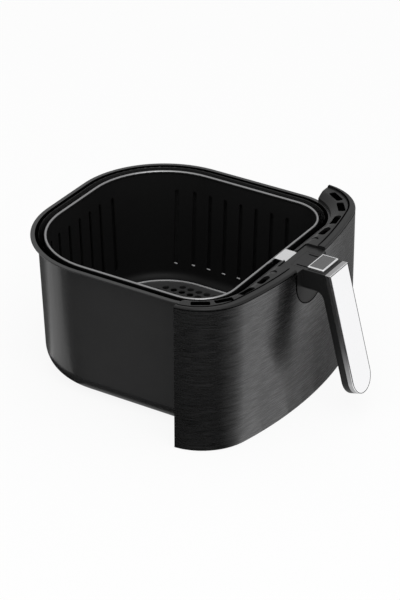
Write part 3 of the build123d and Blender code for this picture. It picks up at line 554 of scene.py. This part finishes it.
def rim_wire(offset, height, radius, sides, flatten=1.0):
    """Round or flattened wire along the basket's outline, moved outwards by an offset."""
    back_x, back_y = HALF_WIDTH - BACK_CORNER, HALF_DEPTH - BACK_CORNER
    front_x, front_y = HALF_WIDTH - FRONT_CORNER, FRONT_CORNER - HALF_DEPTH
    bends = [((back_x, back_y), (-2 * back_x, 0)), ((-back_x, back_y), (0, front_y - back_y)),
             ((-front_x, front_y), (2 * front_x, 0)), ((front_x, front_y), (0, back_y - front_y))]
    bm = bmesh.new()
    start = Matrix.Translation(((HALF_WIDTH + offset) * MM, back_y * MM, height * MM))
    upright = Matrix.Rotation(math.pi / 2, 4, "X") @ Matrix.Diagonal((1, flatten, 1, 1))
    bmesh.ops.create_circle(bm, segments=sides, radius=radius * MM, matrix=start @ upright)
    ring = list(bm.edges)
    for (x, y), (run_x, run_y) in bends:
        turned = bmesh.ops.spin(bm, geom=ring, cent=(x * MM, y * MM, 0), axis=(0, 0, 1), angle=math.pi / 2,
                                steps=CORNER_STEPS)
        ring = add_run(bm, edges_in(turned["geom_last"]), (run_x * MM, run_y * MM, 0))
    bmesh.ops.remove_doubles(bm, verts=bm.verts, dist=WELD)
    bmesh.ops.recalc_face_normals(bm, faces=bm.faces)
    print("wire: offset", offset, "mm,", len(bm.faces), "faces")
    return bm


place_piece(rim_wire(**RIM_WIRE), "rim_wire", "basket", "bright_rim")
# Painted highlight along the floor plate's edge.
place_piece(rim_wire(**PLATE_HIGHLIGHT), "plate_highlight", "basket", "bare_steel", painted_highlight)

# %% [markdown]
# ## Lip mouth
# The pan's wall rolls over into its lip, and the roll mirrors only the dark gap beside the basket. The
# roll is the same wire, pressed flat, painted near-black as the reflection of that gap.

# %% Lip mouth
LIP_MOUTH = {"offset": 8.4, "height": 142.35, "radius": 1.95, "sides": 12, "flatten": 0.5}

# Painted reflection: the lip's roll in near-black, the mirror of the dark gap.
place_piece(rim_wire(**LIP_MOUTH), "lip_mouth", "drawer", "nonstick_black", painted_shade)

# %% [markdown]
# ## Floor plate
# The plate's round holes are punched through. The solid has six-sided holes to stay light, so each side
# is split once and all corners are moved out to the circle. The cut walls inside the holes are painted black
# as shade, and the plate's coat is a lighter copy of the nonstick, as painted light on its upturned face.

# %% Floor plate
HOLE_PITCH = (9.2, 9.6)
HOLE_RADIUS = 3.7
HOLE_SIDES = 6
WALL_REACH, WALL_AREA = 2.7, 4.0
LEVEL = 0.1
UPRIGHT = 0.3


def hole_centre(point):
    """Centre of the punched hole that is nearest to a point."""
    column = round(point.x / (HOLE_PITCH[0] * MM))
    shift = HOLE_PITCH[1] / 2 if column % 2 else 0
    row = round((point.y - shift * MM) / (HOLE_PITCH[1] * MM))
    return Vector((column * HOLE_PITCH[0] * MM, (row * HOLE_PITCH[1] + shift) * MM, point.z))


def is_upright(face):
    return abs(face.normal.z) < UPRIGHT


def is_hole_wall(face):
    """True for a small upright face close round a hole's centre."""
    middle = face.calc_center_median()
    near = (middle - hole_centre(middle)).length < WALL_REACH * MM
    return near and is_upright(face) and face.calc_area() < WALL_AREA * MM * MM


def is_level(edge):
    return abs(edge.verts[0].co.z - edge.verts[1].co.z) < LEVEL * MM


plate = joined("basket_floor")
walls = [face for face in plate.faces if is_hole_wall(face)]
hole_count = len(walls) // HOLE_SIDES
# Painted shade: the hole walls take the second, near-black material.
for wall in walls:
    wall.material_index = 1
hole_sides = {edge for wall in walls for edge in wall.edges if is_level(edge)}
bmesh.ops.subdivide_edges(plate, edges=list(hole_sides), cuts=1)
for vert in plate.verts:
    if any(face.material_index == 1 for face in vert.link_faces):
        centre = hole_centre(vert.co)
        vert.co = centre + (vert.co - centre).normalized() * HOLE_RADIUS * MM
floor_plate = place_piece(plate, "floor_plate", "basket", "nonstick_black", lit_plate_coat)
floor_plate.data.materials.append(painted_shade)
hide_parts("basket_floor")
print("floor plate:", hole_count, "holes,", len(floor_plate.data.polygons), "faces")

# %% [markdown]
# ## Slot glints
# The lower end of each of the basket's slots shows a glint, and the glint is painted: a short bar with
# rounded ends across the slot, in a light finish.

# %% Slot glints
SLOT_COUNT, SLOT_PITCH = 8, 17.7
SLOT_END = 39.6
WALL_INSET = 4.5
GLINT_LENGTH, GLINT_RADIUS, GLINT_ROUND, GLINT_SIDES = 4.2, 0.7, 0.45, 10


def wall_x(y):
    """Half width of the basket's wall at the painted glints, which draws in round the back corners."""
    past = max(0.0, y - (HALF_DEPTH - BACK_CORNER))
    return HALF_WIDTH - BACK_CORNER + math.sqrt((BACK_CORNER - WALL_INSET) ** 2 - past ** 2)


def slot_glint(bm, x, y):
    """Painted glint: a bar along the wall with both ends rounded."""
    turn = Matrix.Translation((x * MM, y * MM, SLOT_END * MM)) @ Matrix.Rotation(math.pi / 2, 4, "X")
    bar = bmesh.ops.create_cone(bm, cap_ends=True, segments=GLINT_SIDES, radius1=GLINT_RADIUS * MM,
                                radius2=GLINT_RADIUS * MM, depth=GLINT_LENGTH * MM, matrix=turn)
    bar_edges = {edge for vert in bar["verts"] for edge in vert.link_edges}
    ends = [edge for edge in bar_edges if any(len(face.verts) == GLINT_SIDES for face in edge.link_faces)]
    bmesh.ops.bevel(bm, geom=ends, offset=GLINT_ROUND * MM, offset_type="OFFSET", segments=2, profile=0.5,
                    affect="EDGES", material=-1)


# Painted glints at the slots' lower ends, in the light finish of painted highlights.
glints = bmesh.new()
for number in range(SLOT_COUNT):
    slot_y = (number - (SLOT_COUNT - 1) / 2) * SLOT_PITCH
    slot_glint(glints, wall_x(slot_y), slot_y)
    slot_glint(glints, -wall_x(slot_y), slot_y)
print("slot lips:", 2 * SLOT_COUNT, "with", len(glints.faces), "faces")
place_piece(glints, "slot_glints", "basket", "bare_steel", painted_highlight)

# %% [markdown]
# ## Vent pits
# Air leaves through three openings on each side of the ring, and behind them the hollow front is dark.
# Each pit is the opening's own rounded outline pushed down into a small open box, painted near-black as
# shade for the dark hollow. A vent's place is its angle round the front corner, its distance outside the rim
# and the height of its mouth.

# %% Vent pits
VENT_PLACES = ((33.0, 24.4, 149.7), (53.4, 22.6, 149.4), (79.5, 19.8, 148.2))
VENT_SIZE, VENT_ROUND = (17.8, 6.8), 1.9
PIT_FLOOR = 147.0


def vent_pit(bm, side, angle, offset, top):
    """Rounded box under one vent, given back by its mouth."""
    a = math.radians(angle)
    reach = FRONT_CORNER + offset
    x = side * (HALF_WIDTH - FRONT_CORNER + reach * math.cos(a))
    y = FRONT_CORNER - HALF_DEPTH - reach * math.sin(a)
    turn = Matrix.Rotation(side * (math.pi / 2 - a), 4, "Z")
    size = Matrix.Diagonal((VENT_SIZE[0] * MM, VENT_SIZE[1] * MM, 1, 1))
    place = Matrix.Translation((x * MM, y * MM, top * MM)) @ turn @ size
    corners = bmesh.ops.create_grid(bm, x_segments=1, y_segments=1, size=0.5, matrix=place)["verts"]
    rounded = bmesh.ops.bevel(bm, geom=corners, offset=VENT_ROUND * MM, offset_type="OFFSET", segments=3,
                              profile=0.5, affect="VERTICES", material=-1)
    mouth = next(face for face in bm.faces if set(rounded["verts"]) <= set(face.verts))
    pushed = bmesh.ops.extrude_face_region(bm, geom=[mouth])["geom"]
    bmesh.ops.translate(bm, verts=verts_in(pushed), vec=(0, 0, (PIT_FLOOR - top) * MM))
    return mouth


pits = bmesh.new()
mouths = [vent_pit(pits, side, *place) for side in (-1, 1) for place in VENT_PLACES]
bmesh.ops.recalc_face_normals(pits, faces=pits.faces)
bmesh.ops.delete(pits, geom=[mouth for mouth in mouths if mouth.is_valid], context="FACES_ONLY")
bmesh.ops.reverse_faces(pits, faces=pits.faces)
print("vent pits:", len(mouths), "with", len(pits.faces), "faces")
# Painted shade inside the vents.
place_piece(pits, "vent_pits", "drawer", "black_plastic", painted_shade)

# %% [markdown]
# ## Part lines
# Two dark joints run round the front, where clipped parts leave a shadow gap: between the vent moulding
# and the band, and between the band and the brushed sheet. The gaps are too narrow to show, so each gets
# a thin black skin. The first is an inset along the inner border of the band's top, the second is the top
# of the sheet's outer wall, cut off by a plane.

# %% Part lines
BAND_TOP, SHEET_TOP = 151.5, 149.5
BAND_LINE, SHEET_LINE = 1.5, 0.8
LINE_LIFT = 0.06
FACING_UP, TOP_SLACK = 0.99, 0.1
INNER_SHARE = 0.3


def rim_offset(point):
    """Distance of a point outside the basket's outline, seen from above, in mm."""
    across = abs(point.x) / MM - HALF_WIDTH
    along = -point.y / MM - HALF_DEPTH
    if min(across, along) > -FRONT_CORNER:
        return math.hypot(across + FRONT_CORNER, along + FRONT_CORNER) - FRONT_CORNER
    return max(across, along)


def keep_faces(bm, kept):
    """Delete all faces but the kept ones."""
    bmesh.ops.delete(bm, geom=[face for face in bm.faces if face not in kept], context="FACES")


def place_line(bm, name):
    """Lift faces a little off their solid, give them some depth and place them as a black line."""
    bm.normal_update()
    for vert in bm.verts:
        vert.co += vert.normal * LINE_LIFT * MM
    bmesh.ops.solidify(bm, geom=list(bm.faces), thickness=LINE_LIFT * MM)
    bmesh.ops.recalc_face_normals(bm, faces=bm.faces)
    print(name, "has", len(bm.faces), "faces")
    place_piece(bm, name, "drawer", "black_plastic", painted_shade)


def on_band_top(face):
    return face.normal.z > FACING_UP and face.calc_center_median().z > (BAND_TOP - TOP_SLACK) * MM


def on_inner_side(face):
    """True where an open edge of the face lies nearer to the basket than the face's middle."""
    limit = rim_offset(face.calc_center_median()) - INNER_SHARE * BAND_LINE
    rims = [edge for edge in face.edges if edge.is_boundary]
    return any(rim_offset((edge.verts[0].co + edge.verts[1].co) / 2) < limit for edge in rims)


def faces_outwards(face):
    return is_upright(face) and face.normal.xy.dot(face.calc_center_median().xy) > 0


band_line = joined("front_housing")
keep_faces(band_line, {face for face in band_line.faces if on_band_top(face)})
border = bmesh.ops.inset_region(band_line, faces=list(band_line.faces), thickness=BAND_LINE * MM,
                                use_boundary=True, use_even_offset=False)["faces"]
keep_faces(band_line, {face for face in border if on_inner_side(face)})
place_line(band_line, "band_line")

sheet_line = joined("panel_skin")
keep_faces(sheet_line, {face for face in sheet_line.faces if faces_outwards(face)})
bmesh.ops.bisect_plane(sheet_line, geom=sheet_line.verts[:] + sheet_line.edges[:] + sheet_line.faces[:],
                       plane_co=(0, 0, (SHEET_TOP - SHEET_LINE) * MM), plane_no=(0, 0, 1), clear_inner=True)
place_line(sheet_line, "sheet_line")

# %% [markdown]
# ## Face seam
# The polished plate on the handle is let into its strip, with a fine seam all round whose shade is painted
# black. The plate's own front face is copied, an inset draws a narrow ring along its border, the middle is
# taken out and the ring gets a little depth.

# %% Face seam
SEAM_WIDTH, SEAM_LIFT, SEAM_DEPTH = 0.55, 0.06, 0.3
FACING_FRONT = 0.97

seam = joined("handle_face")
front_normal = max(seam.faces, key=lambda face: -face.normal.y * face.calc_area()).normal.copy()
keep_faces(seam, {face for face in seam.faces if face.normal.dot(front_normal) >= FACING_FRONT})
border = bmesh.ops.inset_region(seam, faces=list(seam.faces), thickness=SEAM_WIDTH * MM, use_boundary=True,
                                use_even_offset=True)["faces"]
keep_faces(seam, set(border))
bmesh.ops.translate(seam, verts=seam.verts, vec=front_normal * SEAM_LIFT * MM)
bmesh.ops.solidify(seam, geom=list(seam.faces), thickness=SEAM_DEPTH * MM)
print("face seam:", len(seam.faces), "faces")
# Painted shade in the seam round the polished plate.
place_piece(seam, "face_seam", "basket", "black_plastic", painted_shade)

# %% [markdown]
# ## Notch line
# Round the handle's tongue the front sheet has a narrow gap, dark with shade. The shade is painted as a thin
# black strip: a circle pushed down one side, spun half round and pushed up the other side, then bent to the
# bow of the front.

# %% Notch line
NOTCH_RADIUS, NOTCH_CENTRE, NOTCH_TOP = 26.45, 133.9, 146.0
FRONT_Y, FRONT_BOW = -151.5, 430.0
SHADE_RADIUS, SHADE_SIDES, SHADE_STEPS = 0.5, 8, 32

notch_shade = bmesh.new()
notch_shade_start = Matrix.Translation((NOTCH_RADIUS * MM, FRONT_Y * MM, NOTCH_TOP * MM))
bmesh.ops.create_circle(notch_shade, segments=SHADE_SIDES, radius=SHADE_RADIUS * MM, matrix=notch_shade_start)
ring = add_run(notch_shade, list(notch_shade.edges), (0, 0, (NOTCH_CENTRE - NOTCH_TOP) * MM))
half_turn = bmesh.ops.spin(notch_shade, geom=ring, cent=(0, FRONT_Y * MM, NOTCH_CENTRE * MM), axis=(0, 1, 0),
                           angle=math.pi, steps=SHADE_STEPS)
add_run(notch_shade, edges_in(half_turn["geom_last"]), (0, 0, (NOTCH_TOP - NOTCH_CENTRE) * MM))
bmesh.ops.holes_fill(notch_shade, edges=notch_shade.edges)
bmesh.ops.recalc_face_normals(notch_shade, faces=notch_shade.faces)
for vert in notch_shade.verts:
    vert.co.y += vert.co.x ** 2 / (2 * FRONT_BOW * MM)
print("notch line:", len(notch_shade.faces), "faces")
# Painted shade in the gap round the tongue.
place_piece(notch_shade, "notch_line", "drawer", "black_plastic", painted_shade)
